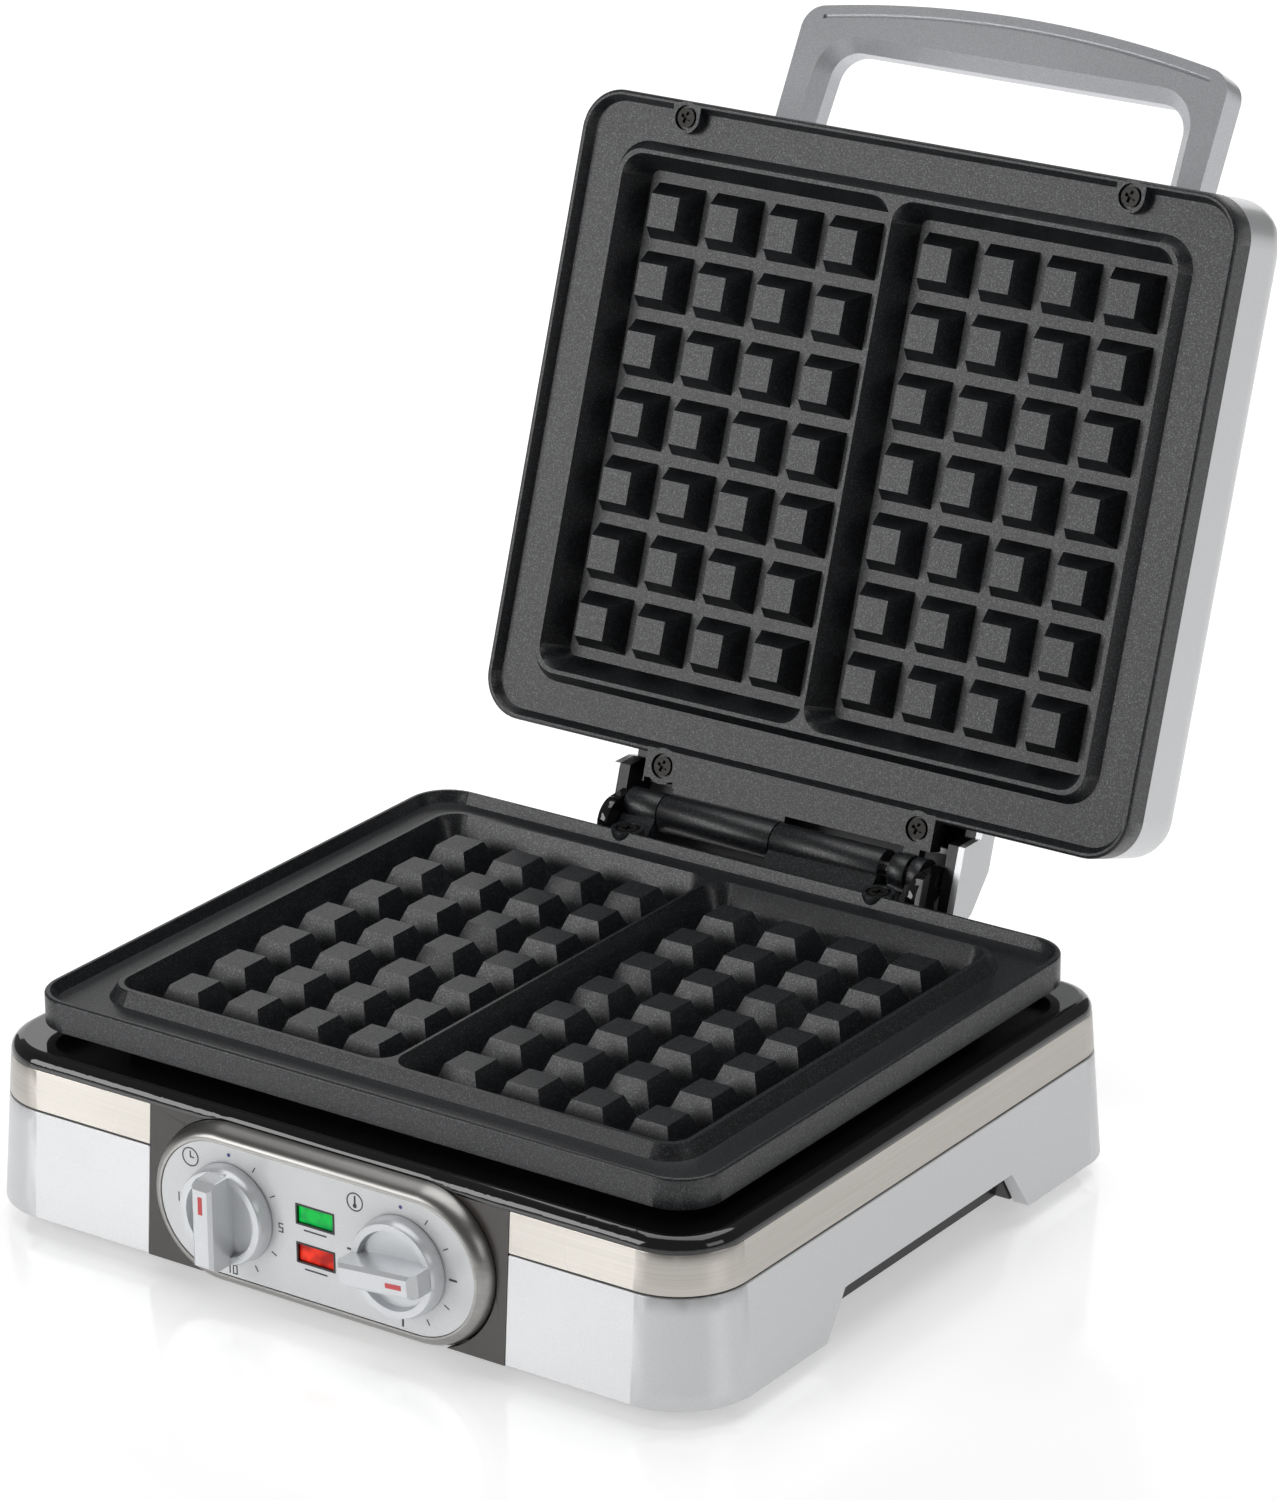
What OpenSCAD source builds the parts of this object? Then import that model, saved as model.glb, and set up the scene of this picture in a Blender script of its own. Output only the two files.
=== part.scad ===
// Two-cavity Belgian waffle maker with a hinged lid, standing open.
// Millimetres. +Z up, -Y towards the user, origin under the middle of the open appliance.

/* [Waffle plates] */
// Pyramid columns in each of the two cavities
columns = 4; // [3:1:4]
// Pyramid rows from front to back
rows = 7; // [5:1:7]
// Spacing of the pyramids from side to side
cell_x = 25; // [23:0.5:25.5]
// Spacing of the pyramids from front to back
cell_y = 24.7; // [23:0.1:25]
// Width of a pyramid at its foot
pyramid_foot = 20.2; // [17:0.1:21]
// Width of a pyramid at its flat top
pyramid_top = 11.9; // [9:0.1:14]
// Height of a pyramid
pyramid_h = 10.3; // [8:0.1:10.5]
// Gap between facing pyramid tops when the lid is shut
closed_gap = 4; // [4:0.1:6]
// Half width of a plate's outer lip
plate_hx = 134; // [132:0.5:136]
// Half depth of a plate's outer lip
plate_hy = 114.4; // [113:0.2:116]

/* [Base] */
// Half width of the base just under the deck
base_hx = 144.2; // [142:0.2:148]
// Distance from plate centre to the base's front just under the deck
base_front = 126; // [124:0.2:130]
// Distance from plate centre to the base's back just under the deck
base_back = 119.5; // [118:0.2:120.5]
// Flare of the base from deck to bottom edge
flare = 3.8; // [2:0.1:5]
// Corner radius at the front
corner_front = 24; // [20:0.5:28]
// Corner radius at the back
corner_back = 17; // [14:0.5:22]
// Height of the silver housing together with its band
housing_h = 52.5; // [50:0.5:60]
// Height of the brushed band
band_h = 14.2; // [10:0.2:18]
// Wall thickness of the housing
wall = 2.4; // [2:0.1:3]
// Thickness of the deck's rounded edge
deck_h = 4.8; // [4:0.1:6]
// Height of the feet below the housing
foot_h = 6.2; // [4:0.1:8]
// Radius of a foot
foot_r = 8; // [6:0.5:10]

/* [Control field] */
// Half width of the dark front panel
panel_hx = 72; // [71:0.5:76]
// Half distance between the centres of the field's round ends
field_half = 40; // [38:0.5:42]
// Radius of the dial plate's round ends
field_r = 23.1; // [22:0.1:24]
// Distance of each knob from the middle
knob_x = 34.5; // [33:0.5:36]
// Radius of a knob's disc
knob_r = 17.2; // [15:0.1:18]
// How far a knob stands out of the dial plate
knob_reach = 15; // [12:0.5:18]
// Width of a knob's grip bar
grip_w = 8; // [6:0.5:9]

/* [Lid] */
// How far the lid stands open
open_angle = 108.3; // [95:0.1:110]
// Height of the lid's straight side above its lower edge
lid_side_h = 17; // [16:0.5:22]
// Radius of the lid's rounded top edge
lid_round = 15; // [12:0.5:15]
// Wall thickness of the lid
lid_wall = 2.2; // [2:0.1:3]

/* [Hinge] */
// Distance of the hinge line behind the plate centre
hinge_y = 134; // [133.5:0.1:135]
// Radius of the hinge pin
pin_r = 3; // [2.5:0.1:3.2]
// Radius of the cast knuckles
knuckle_r = 6.8; // [6:0.1:7]

/* [Handle] */
// Half width over the handle's legs
handle_hx = 88; // [84:0.5:92]
// Half width of the opening
handle_gap_hx = 73; // [68:0.5:74]
// Reach of the handle in front of the plate centre
handle_front = 164.3; // [160:0.1:168]
// Thickness of the handle
handle_t = 12; // [10:0.5:14]

/* [View] */
// Sub-part to draw, or all

/* [Hidden] */
$fn = 96;
bottom_z = foot_h;
deck_z = foot_h + housing_h;
deck_top = deck_z + deck_h;
plate_z = deck_top + 14;
hinge_z = plate_z + closed_gap / 2;
lip_top = 1.1;
crest = 1.9;
channel = -2.8;
skirt = -9.5;
tray = -pyramid_h - 3.5;
margin_x = 13.55;
margin_y = 14.2;
cavity_in = 5.8;
cavity_hx = (columns - 1) * cell_x / 2 + margin_x;
cavity_cx = cavity_in + cavity_hx;
cavity_hy = (rows - 1) * cell_y / 2 + margin_y;
cavity_out = cavity_in + 2 * cavity_hx;
field_z = bottom_z + housing_h / 2 + 0.15;
dial_y = base_front + 6.9;
run_gap = 0.05;
// The lid is drawn shut, with heights counted from the lower pyramid tops.
lid_z = closed_gap - skirt;
lid_top = lid_z + lid_side_h + lid_round;
crown_r = 1430;
groove_cy = 308.7;
handle_end_y = -84;
handle_lean = 11;
handle_root_y = -117;
handle_root_z = 57;
cheek_x = 73.5;
lug_x = 62.5;
lug_t = 4;
front_screw = [91, -108.4];
rear_screw = [53.4, 118.2];
base_screw = [52.5, 117];
// Furthest point back of the open lid's handle, which sets where the middle is.
tip_dy = -handle_front - handle_t * sin(handle_lean) * 0.2 - hinge_y;
tip_dz = handle_root_z + (handle_front + handle_root_y) * tan(handle_lean)
    + handle_t * cos(handle_lean) - closed_gap / 2;
back_reach = hinge_y + tip_dy * cos(open_angle) + tip_dz * sin(open_angle);
front_reach = dial_y + knob_reach;
middle_y = (front_reach - back_reach) / 2;

silver = [0.80, 0.81, 0.82];
steel = [0.70, 0.68, 0.66];
black = [0.06, 0.06, 0.06];
cast = [0.15, 0.16, 0.17];
zinc = [0.55, 0.56, 0.56];

// ---------- shared shapes ----------

// Rounded rectangle with its own radius at the front and at the back.
module plan(hx, y0, y1, rf, rb) {
    polygon([[-hx + rf, y0], [hx - rf, y0], [hx, y0 + rf], [hx, y1 - rb],
        [hx - rb, y1], [-hx + rb, y1], [-hx, y1 - rb], [-hx, y0 + rf]]);
    for (s = [-1, 1]) {
        translate([s * (hx - rf), y0 + rf]) circle(r = rf);
        translate([s * (hx - rb), y1 - rb]) circle(r = rb);
    }
}

module slab(hx, y0, y1, rf, rb, h) {
    linear_extrude(h) plan(hx, y0, y1, rf, rb);
}

// Block whose four sides and corners lean in by d from bottom to top.
module leaning(hx, y0, y1, rf, rb, d, h) {
    for (s = [-1, 1]) {
        translate([s * (hx - rf), y0 + rf, 0]) cylinder(r1 = rf + d, r2 = rf, h = h);
        translate([s * (hx - rb), y1 - rb, 0]) cylinder(r1 = rb + d, r2 = rb, h = h);
    }
    x1 = hx - rf;
    x2 = hx - rb;
    polyhedron(
        points = [[-x1, y0 - d, 0], [x1, y0 - d, 0], [hx + d, y0 + rf, 0],
            [hx + d, y1 - rb, 0], [x2, y1 + d, 0], [-x2, y1 + d, 0],
            [-hx - d, y1 - rb, 0], [-hx - d, y0 + rf, 0],
            [-x1, y0, h], [x1, y0, h], [hx, y0 + rf, h], [hx, y1 - rb, h],
            [x2, y1, h], [-x2, y1, h], [-hx, y1 - rb, h], [-hx, y0 + rf, h]],
        faces = [[0, 1, 2, 3, 4, 5, 6, 7], [15, 14, 13, 12, 11, 10, 9, 8],
            [1, 0, 8, 9], [2, 1, 9, 10], [3, 2, 10, 11], [4, 3, 11, 12],
            [5, 4, 12, 13], [6, 5, 13, 14], [7, 6, 14, 15], [0, 7, 15, 8]]);
}

// Carries a profile round a rounded rectangle; the profile's x points outwards.
module around(hx, y0, y1, rf, rb) {
    for (s = [0, 1]) mirror([s, 0, 0]) {
        translate([hx, y1 - rb, 0])
            rotate([90, 0, 0])
            linear_extrude(y1 - rb - y0 - rf) children();
        translate([hx - rf, y0 + rf, 0])
            rotate([0, 0, -90])
            rotate_extrude(angle = 90) translate([rf, 0]) children();
        translate([hx - rb, y1 - rb, 0])
            rotate_extrude(angle = 90) translate([rb, 0]) children();
    }
    translate([hx - rf, y0, 0])
        rotate([90, 0, -90])
        linear_extrude(2 * (hx - rf)) children();
    translate([-hx + rb, y1, 0])
        rotate([90, 0, 90])
        linear_extrude(2 * (hx - rb)) children();
}

module box(x0, x1, y0, y1, z0, z1) {
    translate([x0, y0, z0]) cube([x1 - x0, y1 - y0, z1 - z0]);
}

// Cylinder along X from x0 to x1 at height z and depth y.
module bar_x(r, x0, x1, y, z) {
    translate([x0, y, z]) rotate([0, 90, 0]) cylinder(r = r, h = x1 - x0);
}

// Extrudes a (y, z) outline along X.
module along_x(x0, x1) {
    translate([x0, 0, 0]) rotate([90, 0, 90]) linear_extrude(x1 - x0) children();
}

// Turns a drawing whose Z points out of the front panel into place.
module on_front() {
    translate([0, 0, field_z]) rotate([90, 0, 0]) children();
}

module stadium(r, half = field_half) {
    square([2 * half, 2 * r], center = true);
    for (s = [-1, 1]) translate([s * half, 0]) circle(r = r);
}

module screw(head_r, head_h, shank_r, length) {
    difference() {
        union() {
            translate([0, 0, -head_h]) cylinder(r = head_r, h = head_h);
            translate([0, 0, -length]) cylinder(r = shank_r, h = length - head_h + 0.2);
        }
        for (a = [0, 90]) rotate([0, 0, a + 20])
            translate([-head_r * 0.62, -0.6, -head_h * 0.9])
            cube([head_r * 1.24, 1.2, head_h]);
    }
}

// Puts lid pieces, drawn shut, into the open position.
module opened() {
    translate([0, hinge_y, hinge_z])
        rotate([-open_angle, 0, 0])
        translate([0, -hinge_y, plate_z - hinge_z])
        children();
}

module placed() {
    translate([0, middle_y, 0]) children();
}

// ---------- waffle plates ----------

module pyramids() {
    intersection() {
        for (i = [0 : rows - 1])
            translate([0, (i - (rows - 1) / 2) * cell_y, 0])
                along_x(-cavity_out, cavity_out) pyramid_profile();
        for (s = [-1, 1], i = [0 : columns - 1])
            translate([s * (cavity_in + margin_x + i * cell_x), cavity_hy, 0])
                rotate([90, 0, 0]) linear_extrude(2 * cavity_hy) pyramid_profile();
    }
}

module pyramid_profile() {
    lean = (pyramid_foot - pyramid_top) / 2 / pyramid_h;
    low = pyramid_foot / 2 + lean * 0.6;
    polygon([[-low, -pyramid_h - 0.6], [low, -pyramid_h - 0.6],
        [pyramid_top / 2, 0], [-pyramid_top / 2, 0]]);
}

// Plate with its cavities facing up, without hinge parts.
module casting() {
    difference() {
        union() {
            rim();
            translate([0, 0, tray])
                slab(cavity_out + 5, -cavity_hy - 5, cavity_hy + 5, 9, 9, channel - tray);
            translate([0, 0, channel - 0.5])
                leaning(cavity_out + 6.9, -cavity_hy - 6.7, cavity_hy + 6.7, 9, 9, 3.5,
                    crest - channel + 0.5);
        }
        for (s = [-1, 1])
            translate([s * cavity_cx, 0, crest + 1])
                mirror([0, 0, 1])
                leaning(cavity_hx, -cavity_hy, cavity_hy, 3, 3, 5.66,
                    crest + 1 + pyramid_h);
    }
    pyramids();
}

// Outer lip, cooking channel floor and skirt of a plate.
module rim() {
    difference() {
        union() {
            translate([0, 0, skirt])
                slab(plate_hx, -plate_hy, plate_hy, 15.5, 15.5, lip_top - 1 - skirt);
            translate([0, 0, lip_top - 2])
                slab(plate_hx - 1, -plate_hy + 1, plate_hy - 1, 14.5, 14.5, 2);
            translate([0, 0, lip_top - 1])
                around(plate_hx - 1, -plate_hy + 1, plate_hy - 1, 14.5, 14.5)
                intersection() {
                    circle(r = 1);
                    square(1);
                }
        }
        // The lip's inner wall slopes down to the channel floor.
        translate([0, 0, lip_top + 0.4])
            mirror([0, 0, 1])
            leaning(plate_hx - 3.8, -plate_hy + 3.8, plate_hy - 3.8, 11.7, 11.7, 2.2,
                lip_top + 0.4 - channel);
        translate([0, 0, skirt - 1])
            slab(plate_hx - 3, -plate_hy + 3, plate_hy - 3, 12.5, 12.5, channel - 3.2 - skirt + 1);
    }
}

module screw_seat(p, top, deep) {
    translate([p[0], p[1], top - 1.4]) cylinder(r = 4.5, h = 3);
    translate([p[0], p[1], top - deep]) cylinder(r = 2.25, h = deep);
}

module lower_plate() {
    color(cast) placed() translate([0, 0, plate_z]) difference() {
        union() {
            casting();
            for (s = [-1, 1])
                translate([s * base_screw[0], base_screw[1], skirt]) cylinder(r = 6, h = lip_top - skirt);
            box(-62, 61.5, plate_hy - 2, hinge_y - 7, skirt, skirt + 4);
            for (k = lower_knuckles) {
                bar_x(knuckle_r, k[0], k[1], hinge_y, closed_gap / 2);
                along_x(k[0], k[1]) polygon([[plate_hy + 6, skirt], [hinge_y - 7, skirt],
                    [hinge_y - 4.6, closed_gap / 2 - 5], [hinge_y - 2, closed_gap / 2],
                    [hinge_y - 6, closed_gap / 2], [plate_hy + 6, skirt + 4]]);
            }
        }
        bar_x(pin_r + run_gap, -70, 70, hinge_y, closed_gap / 2);
        for (s = [-1, 1]) {
            screw_seat([s * base_screw[0], base_screw[1]], lip_top, 20);
            translate([s * 60, 0, tray - 1]) cylinder(r = 1.6, h = 2.6);
        }
    }
}

lower_knuckles = [[-62, -48], [0.3, 45], [57, 61.5]];
lid_knuckles = [[-47.5, -0.3], [49, 55.5]];

module lid_plate() {
    color(cast) placed() opened() difference() {
        union() {
            translate([0, 0, closed_gap]) rotate([180, 0, 0]) casting();
            // Tab at the back with the two screw bosses.
            difference() {
                box(-60.5, 60.2, plate_hy - 2, 125, closed_gap - lip_top, closed_gap + 6);
                box(-60, -47.8, 123.2, 126, closed_gap - 3, closed_gap + 3);
            }
            for (s = [-1, 1])
                translate([s * rear_screw[0], rear_screw[1], closed_gap - lip_top])
                    cylinder(r = 6.5, h = 9);
            for (s = [-1, 1])
                translate([s * front_screw[0], front_screw[1], closed_gap - lip_top]) {
                    cylinder(r = 5.7, h = 9);
                    box(-5.7, 5.7, -4.6, 0, 0, 5);
                }
            for (k = lid_knuckles) {
                bar_x(knuckle_r, k[0], k[1], hinge_y, closed_gap / 2);
                box(k[0], k[1], 124, hinge_y, closed_gap, closed_gap / 2 + knuckle_r - 0.6);
            }
        }
        bar_x(pin_r + run_gap, -70, 70, hinge_y, closed_gap / 2);
        for (s = [-1, 1]) translate([0, 0, closed_gap]) mirror([0, 0, 1]) {
            screw_seat([s * front_screw[0], front_screw[1]], lip_top, 20);
            screw_seat([s * rear_screw[0], rear_screw[1]], lip_top, 20);
        }
    }
}

module lower_plate_screws() {
    color(zinc) placed() translate([0, 0, plate_z + lip_top - 0.2])
        for (s = [-1, 1])
            translate([s * base_screw[0], base_screw[1], 0]) screw(3.5, 1.2, 1.9, 19);
}

module lid_plate_screws() {
    color(zinc) placed() opened() translate([0, 0, closed_gap - lip_top + 0.2])
        mirror([0, 0, 1]) for (s = [-1, 1]) {
            translate([s * front_screw[0], front_screw[1], 0]) screw(3.5, 1.2, 1.9, 19);
            translate([s * rear_screw[0], rear_screw[1], 0]) screw(3.5, 1.2, 1.9, 14.4);
        }
}

// Tubular element: two long bends joined at the back, ends turned to the front.
module element_loop() {
    for (s = [-1, 1]) {
        for (x = [30, 90]) translate([s * x, 56, 0]) rotate([90, 0, 0]) cylinder(r = 3.3, h = 112);
        translate([s * 60, -56, 0]) rotate([0, 0, 180])
            rotate_extrude(angle = 180) translate([30, 0]) circle(r = 3.3);
        translate([s * 90, 68, 0]) rotate([90, 0, 0]) cylinder(r = 2, h = 12);
    }
    translate([0, 56, 0]) rotate_extrude(angle = 180) translate([30, 0]) circle(r = 3.3);
}

module lower_element() {
    color(zinc) placed() translate([0, 0, plate_z + tray - 3.4]) element_loop();
}

module lid_element() {
    color(zinc) placed() opened() translate([0, 0, closed_gap - tray + 3.4]) element_loop();
}

// Shallow bright sheet tray, open towards the plate.
module reflector(h) {
    difference() {
        slab(112, -92, 92, 8, 8, h);
        translate([0, 0, 0.8]) slab(111.2, -91.2, 91.2, 7.2, 7.2, h);
    }
}

module lower_reflector() {
    color(steel) placed() translate([0, 0, plate_z + tray - 8.2]) reflector(8);
}

module lid_reflector() {
    color(steel) placed() opened() translate([0, 0, closed_gap - tray + 8.2])
        mirror([0, 0, 1]) reflector(8);
}

// ---------- base ----------

module base_outside(h0, h1) {
    intersection() {
        translate([0, 0, bottom_z])
            leaning(base_hx, -base_front, base_back, corner_front, corner_back, flare, housing_h);
        box(-200, 200, -200, 200, h0, h1);
    }
}

module base_inside(inset, z0, z1) {
    translate([0, 0, z0])
        slab(base_hx - inset, -base_front + inset, base_back - inset,
            corner_front - inset, corner_back - inset, z1 - z0);
}

// Cut for the grip notch, long side up, ends leaning outwards.
module grip_notch(depth) {
    for (s = [0, 1]) mirror([s, 0, 0])
        along_x(base_hx + flare - depth, base_hx + flare + 5)
        polygon([[-61, bottom_z - 1], [-48, bottom_z + 14.7], [-46, bottom_z + 14.9],
            [51, bottom_z + 14.9], [53, bottom_z + 14.7], [63, bottom_z - 1]]);
}

module base_housing() {
    color(silver) placed() difference() {
        base_outside(bottom_z, deck_z - band_h - 0.5);
        base_inside(wall, bottom_z - 1, deck_z);
        box(-panel_hx - 0.1, panel_hx + 0.1, -base_front - 20, -base_front + corner_front,
            bottom_z - 1, deck_z);
        grip_notch(12);
        // Hole for the cord bushing.
        translate([70, base_back + 20, bottom_z + 16]) rotate([90, 0, 0]) cylinder(r = 8.1, h = 40);
    }
}

module trim_band() {
    color(steel) placed() difference() {
        base_outside(deck_z - band_h, deck_z);
        base_inside(1.2, bottom_z, deck_z + 1);
        box(-panel_hx - 0.1, panel_hx + 0.1, -base_front - 20, -base_front + corner_front,
            bottom_z - 1, deck_z + 1);
    }
}

module deck() {
    e = 4.4;
    color(black) placed() difference() {
        union() {
            translate([0, 0, deck_z])
                slab(base_hx - e, -base_front + e, base_back - e,
                    corner_front - e, corner_back - e, deck_h);
            translate([0, 0, deck_z])
                around(base_hx - e, -base_front + e, base_back - e,
                    corner_front - e, corner_back - e)
                intersection() {
                    scale([e, deck_h]) circle(r = 1);
                    square(e + deck_h);
                }
            // Skirt inside the band and the top of the housing.
            base_inside(1.4, deck_z - band_h + 0.1, deck_z);
            base_inside(wall + 0.2, deck_z - band_h - 4, deck_z);
            for (s = [-1, 1]) lug(s);
        }
        base_inside(4, deck_z - band_h - 5, deck_z - 2.4);
        translate([0, 0, deck_z - 3])
            slab(cavity_out + 13, -cavity_hy - 12, cavity_hy + 12, 12, 12, 20);
        bar_x(pin_r + run_gap, -lug_x - lug_t - 1, lug_x + lug_t + 1, hinge_y, hinge_z);
        for (s = [-1, 1])
            translate([s * base_screw[0], base_screw[1], deck_z - 10]) cylinder(r = 1.95, h = 30);
        box(-panel_hx - 0.1, panel_hx + 0.1, -base_front - 1, -base_front + 5,
            deck_z - band_h - 5, deck_z - 0.01);
        on_front() translate([0, 0, base_front - 2.4]) linear_extrude(20) stadium(field_r + 5);
    }
}

// Rounded ear that carries one end of the hinge pin.
module lug(s) {
    x0 = s > 0 ? lug_x : -lug_x - lug_t;
    bar_x(5.3, x0, x0 + lug_t, hinge_y, hinge_z);
    // The rear is cut square to clear the lower edge of the raised fairing.
    difference() {
        bar_x(8.6, x0, x0 + lug_t, hinge_y - 7.4, hinge_z - 3.8);
        box(x0 - 1, x0 + lug_t + 1, hinge_y - 3.4, hinge_y + 2, hinge_z - 13, hinge_z - 5);
    }
    along_x(x0, x0 + lug_t) polygon([[hinge_y - 22, deck_top - 1.5],
        [hinge_y - 19, deck_top - 0.2], [hinge_y - 16, hinge_z - 9], [hinge_y - 16, hinge_z - 3.8],
        [hinge_y - 7.4, hinge_z + 4.8], [hinge_y, hinge_z + 5.3], [hinge_y, hinge_z - 5.3],
        [hinge_y - 3.5, hinge_z - 6.6], [hinge_y - 8, hinge_z - 11], [hinge_y - 15.5, deck_top - 3.5]]);
}

module front_panel() {
    lean = flare / housing_h;
    color([0.20, 0.18, 0.17]) placed() {
        difference() {
            along_x(-panel_hx, panel_hx) polygon([
                [-base_front - flare, bottom_z], [-base_front + 2, bottom_z],
                [-base_front + 2, deck_z - 0.02], [-base_front, deck_z - 0.02]]);
            translate([0, -base_front + 3, 0]) on_front()
                linear_extrude(20) stadium(field_r + 4.9);
        }
        // Return flange behind the control field.
        difference() {
            box(-panel_hx, panel_hx, -base_front + 1.9, -base_front + 4, bottom_z + 4.2, deck_z - 3);
            translate([0, -base_front + 6, 0]) on_front() {
                for (s = [-1, 1]) translate([s * knob_x, 0, -1]) cylinder(r = 6, h = 10);
                for (y = lamp_z) translate([0, y, 3]) cube([13, 6.4, 10], center = true);
            }
        }
        lean_rib(lean);
    }
}

lamp_z = [6.8, -6.8];

// Two ribs that stiffen the panel behind its round opening.
module lean_rib(lean) {
    for (s = [-1, 1])
        translate([s * (panel_hx - 3), 0, 0])
            along_x(-1, 1) polygon([[-base_front + 1.5, bottom_z + 4.2],
                [-base_front + 8 + lean, bottom_z + 4.2], [-base_front + 8 + lean, deck_z - 20],
                [-base_front + 1.5, deck_z - 10]]);
}

module bottom_cover() {
    color(black) placed() {
        difference() {
            base_inside(wall + 0.15, bottom_z + 1.5, bottom_z + 4);
            grip_notch(14);
            for (x = [-1, 1], y = [-1, 1]) translate([x * 112, y * 86 - 4, bottom_z])
                cylinder(r = 2.1, h = 10);
            for (i = [-5 : 5])
                translate([i * 14 - 2, -30, bottom_z]) cube([4, 60, 10]);
        }
        // Walls that close the grip notches from inside.
        for (s = [0, 1]) mirror([s, 0, 0]) difference() {
            box(base_hx - 13, base_hx - wall - 0.3, -64, 66, bottom_z + 1.5, bottom_z + 18.5);
            translate([1.8, 0, -1.5]) grip_notch(14);
        }
    }
}

module foot_places() {
    for (x = [-1, 1], y = [-106, 98]) translate([x * 122, y, 0]) children();
}

module rubber_feet() {
    color(black) placed() foot_places() difference() {
        union() {
            cylinder(r1 = foot_r - 0.8, r2 = foot_r, h = 1.5);
            translate([0, 0, 1.4]) cylinder(r = foot_r, h = foot_h + 0.05);
        }
        translate([0, 0, -1]) cylinder(r = 3.2, h = 4);
    }
}

module bottom_screws() {
    color(zinc) placed() for (x = [-1, 1], y = [-1, 1])
        translate([x * 112, y * 86 - 4, bottom_z]) mirror([0, 0, 1]) screw(3.6, 1.4, 1.9, 12);
}

module hinge_pin() {
    color(steel) placed() bar_x(pin_r, -lug_x - lug_t + 0.5, lug_x + lug_t - 0.5, hinge_y, hinge_z);
}

module cord_gland() {
    color(black) placed() translate([70, base_back + 7, bottom_z + 16]) rotate([90, 0, 0])
        difference() {
            union() {
                cylinder(r = 8, h = 14);
                cylinder(r = 9.5, h = 3);
            }
            translate([0, 0, -1]) cylinder(r = 3.5, h = 20);
        }
}

// ---------- control field ----------

module control_bezel() {
    r = field_r + 0.1;
    color(steel) placed() on_front() translate([0, 0, base_front - 1.8]) difference() {
        union() {
            linear_extrude(8.9) stadium(r + 0.4);
            bezel_sweep(r) {
                polygon([[0.2, 0], [4.6, 0], [4.6, 1.8], [0.2, 1.8]]);
                intersection() {
                    translate([0.4, 1.8]) scale([4.2, 7.2]) circle(r = 1);
                    translate([0.2, 1.7]) square([6, 9]);
                }
            }
        }
        translate([0, 0, -1]) linear_extrude(20) stadium(r);
    }
}

// Carries a profile round the stadium; the profile's x points outwards.
module bezel_sweep(r) {
    for (s = [0, 1]) rotate([0, 0, s * 180]) {
        translate([field_half, 0, 0]) rotate([0, 0, -90])
            rotate_extrude(angle = 180) translate([r, 0]) children([0 : $children - 1]);
        translate([field_half, -r, 0]) rotate([90, 0, -90])
            linear_extrude(2 * field_half) children([0 : $children - 1]);
    }
}

module dial_plate() {
    color([0.88, 0.89, 0.90]) placed() on_front() difference() {
        translate([0, 0, dial_y - 1.6]) linear_extrude(1.6) stadium(field_r);
        for (s = [-1, 1]) translate([s * knob_x, 0, dial_y - 3]) cylinder(r = 5, h = 6);
        for (y = lamp_z) translate([0, y, dial_y]) cube([15.6, 7.4, 6], center = true);
    }
}

// Black sleeves that line the two windows.
module lamp_frames() {
    color(black) placed() on_front() for (y = lamp_z) translate([0, y, dial_y - 4]) difference() {
        translate([-7.75, -3.65, 0]) cube([15.5, 7.3, 4.1]);
        translate([-7.15, -3.05, -1]) cube([14.3, 6.1, 6]);
    }
}

module lamp(y) {
    placed() on_front() translate([0, y, 0]) {
        translate([-7.1, -3, dial_y - 5]) cube([14.2, 6, 4]);
        translate([-6.4, -2.9, dial_y - 15]) cube([12.8, 5.8, 10.5]);
        for (s = [-1, 1]) translate([s * 3, 0, dial_y - 21]) cylinder(r = 0.8, h = 6.5);
    }
}

module ready_lamp() {
    color([0.05, 0.75, 0.2]) lamp(lamp_z[0]);
}

module power_lamp() {
    color([0.9, 0.2, 0.1]) lamp(lamp_z[1]);
}

// One knob with its grip bar upright, drawn with Z out of the panel.
module knob_shape() {
    top = knob_reach;
    difference() {
        union() {
            cylinder(r1 = knob_r, r2 = knob_r - 0.4, h = 3.6);
            translate([0, 0, 3.6]) cylinder(r1 = knob_r - 0.4, r2 = knob_r - 1.2, h = 1.9);
        }
        translate([0, 0, 3]) cylinder(r1 = knob_r - 4.2, r2 = knob_r - 3.2, h = 4);
        translate([0, 0, -1]) cylinder(r = knob_r - 2, h = 1.6);
    }
    intersection() {
        translate([0, 15.6, 0]) rotate([90, 0, 0]) linear_extrude(31.2)
            polygon([[-grip_w / 2, 2], [grip_w / 2, 2], [grip_w / 2, top - 1.2],
                [grip_w / 2 - 1.2, top], [-grip_w / 2 + 1.2, top], [-grip_w / 2, top - 1.2]]);
        rotate([90, 0, 90]) translate([0, 0, -10]) linear_extrude(20)
            polygon([[-15.6, 2], [15.6, 2], [15.6, top - 3.2], [13.4, top], [-13.4, top],
                [-15.6, top - 3.2]]);
        translate([0, 0, -1]) cylinder(r = knob_r - 1.2, h = 40);
    }
}

module knob_at(x, turn) {
    placed() on_front() translate([x, 0, dial_y]) rotate([0, 0, turn]) children();
}

module knob(x, turn) {
    color(silver) knob_at(x, turn) difference() {
        translate([0, 0, 0.4]) knob_shape();
        translate([0, 0, -1]) cylinder(r = 3, h = 9);
        translate([-0.85, 5, knob_reach - 0.4]) cube([1.7, 6.2, 3]);
    }
}

module pointer(x, turn) {
    color([0.8, 0.15, 0.15]) knob_at(x, turn)
        translate([-0.85, 5, knob_reach - 0.4]) cube([1.7, 6.2, 0.9]);
}

module shaft(x, turn) {
    color(zinc) knob_at(x, turn) translate([0, 0, -26]) cylinder(r = 3, h = 34);
}

module timer_knob() {
    knob(-knob_x, 0);
}

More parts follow.
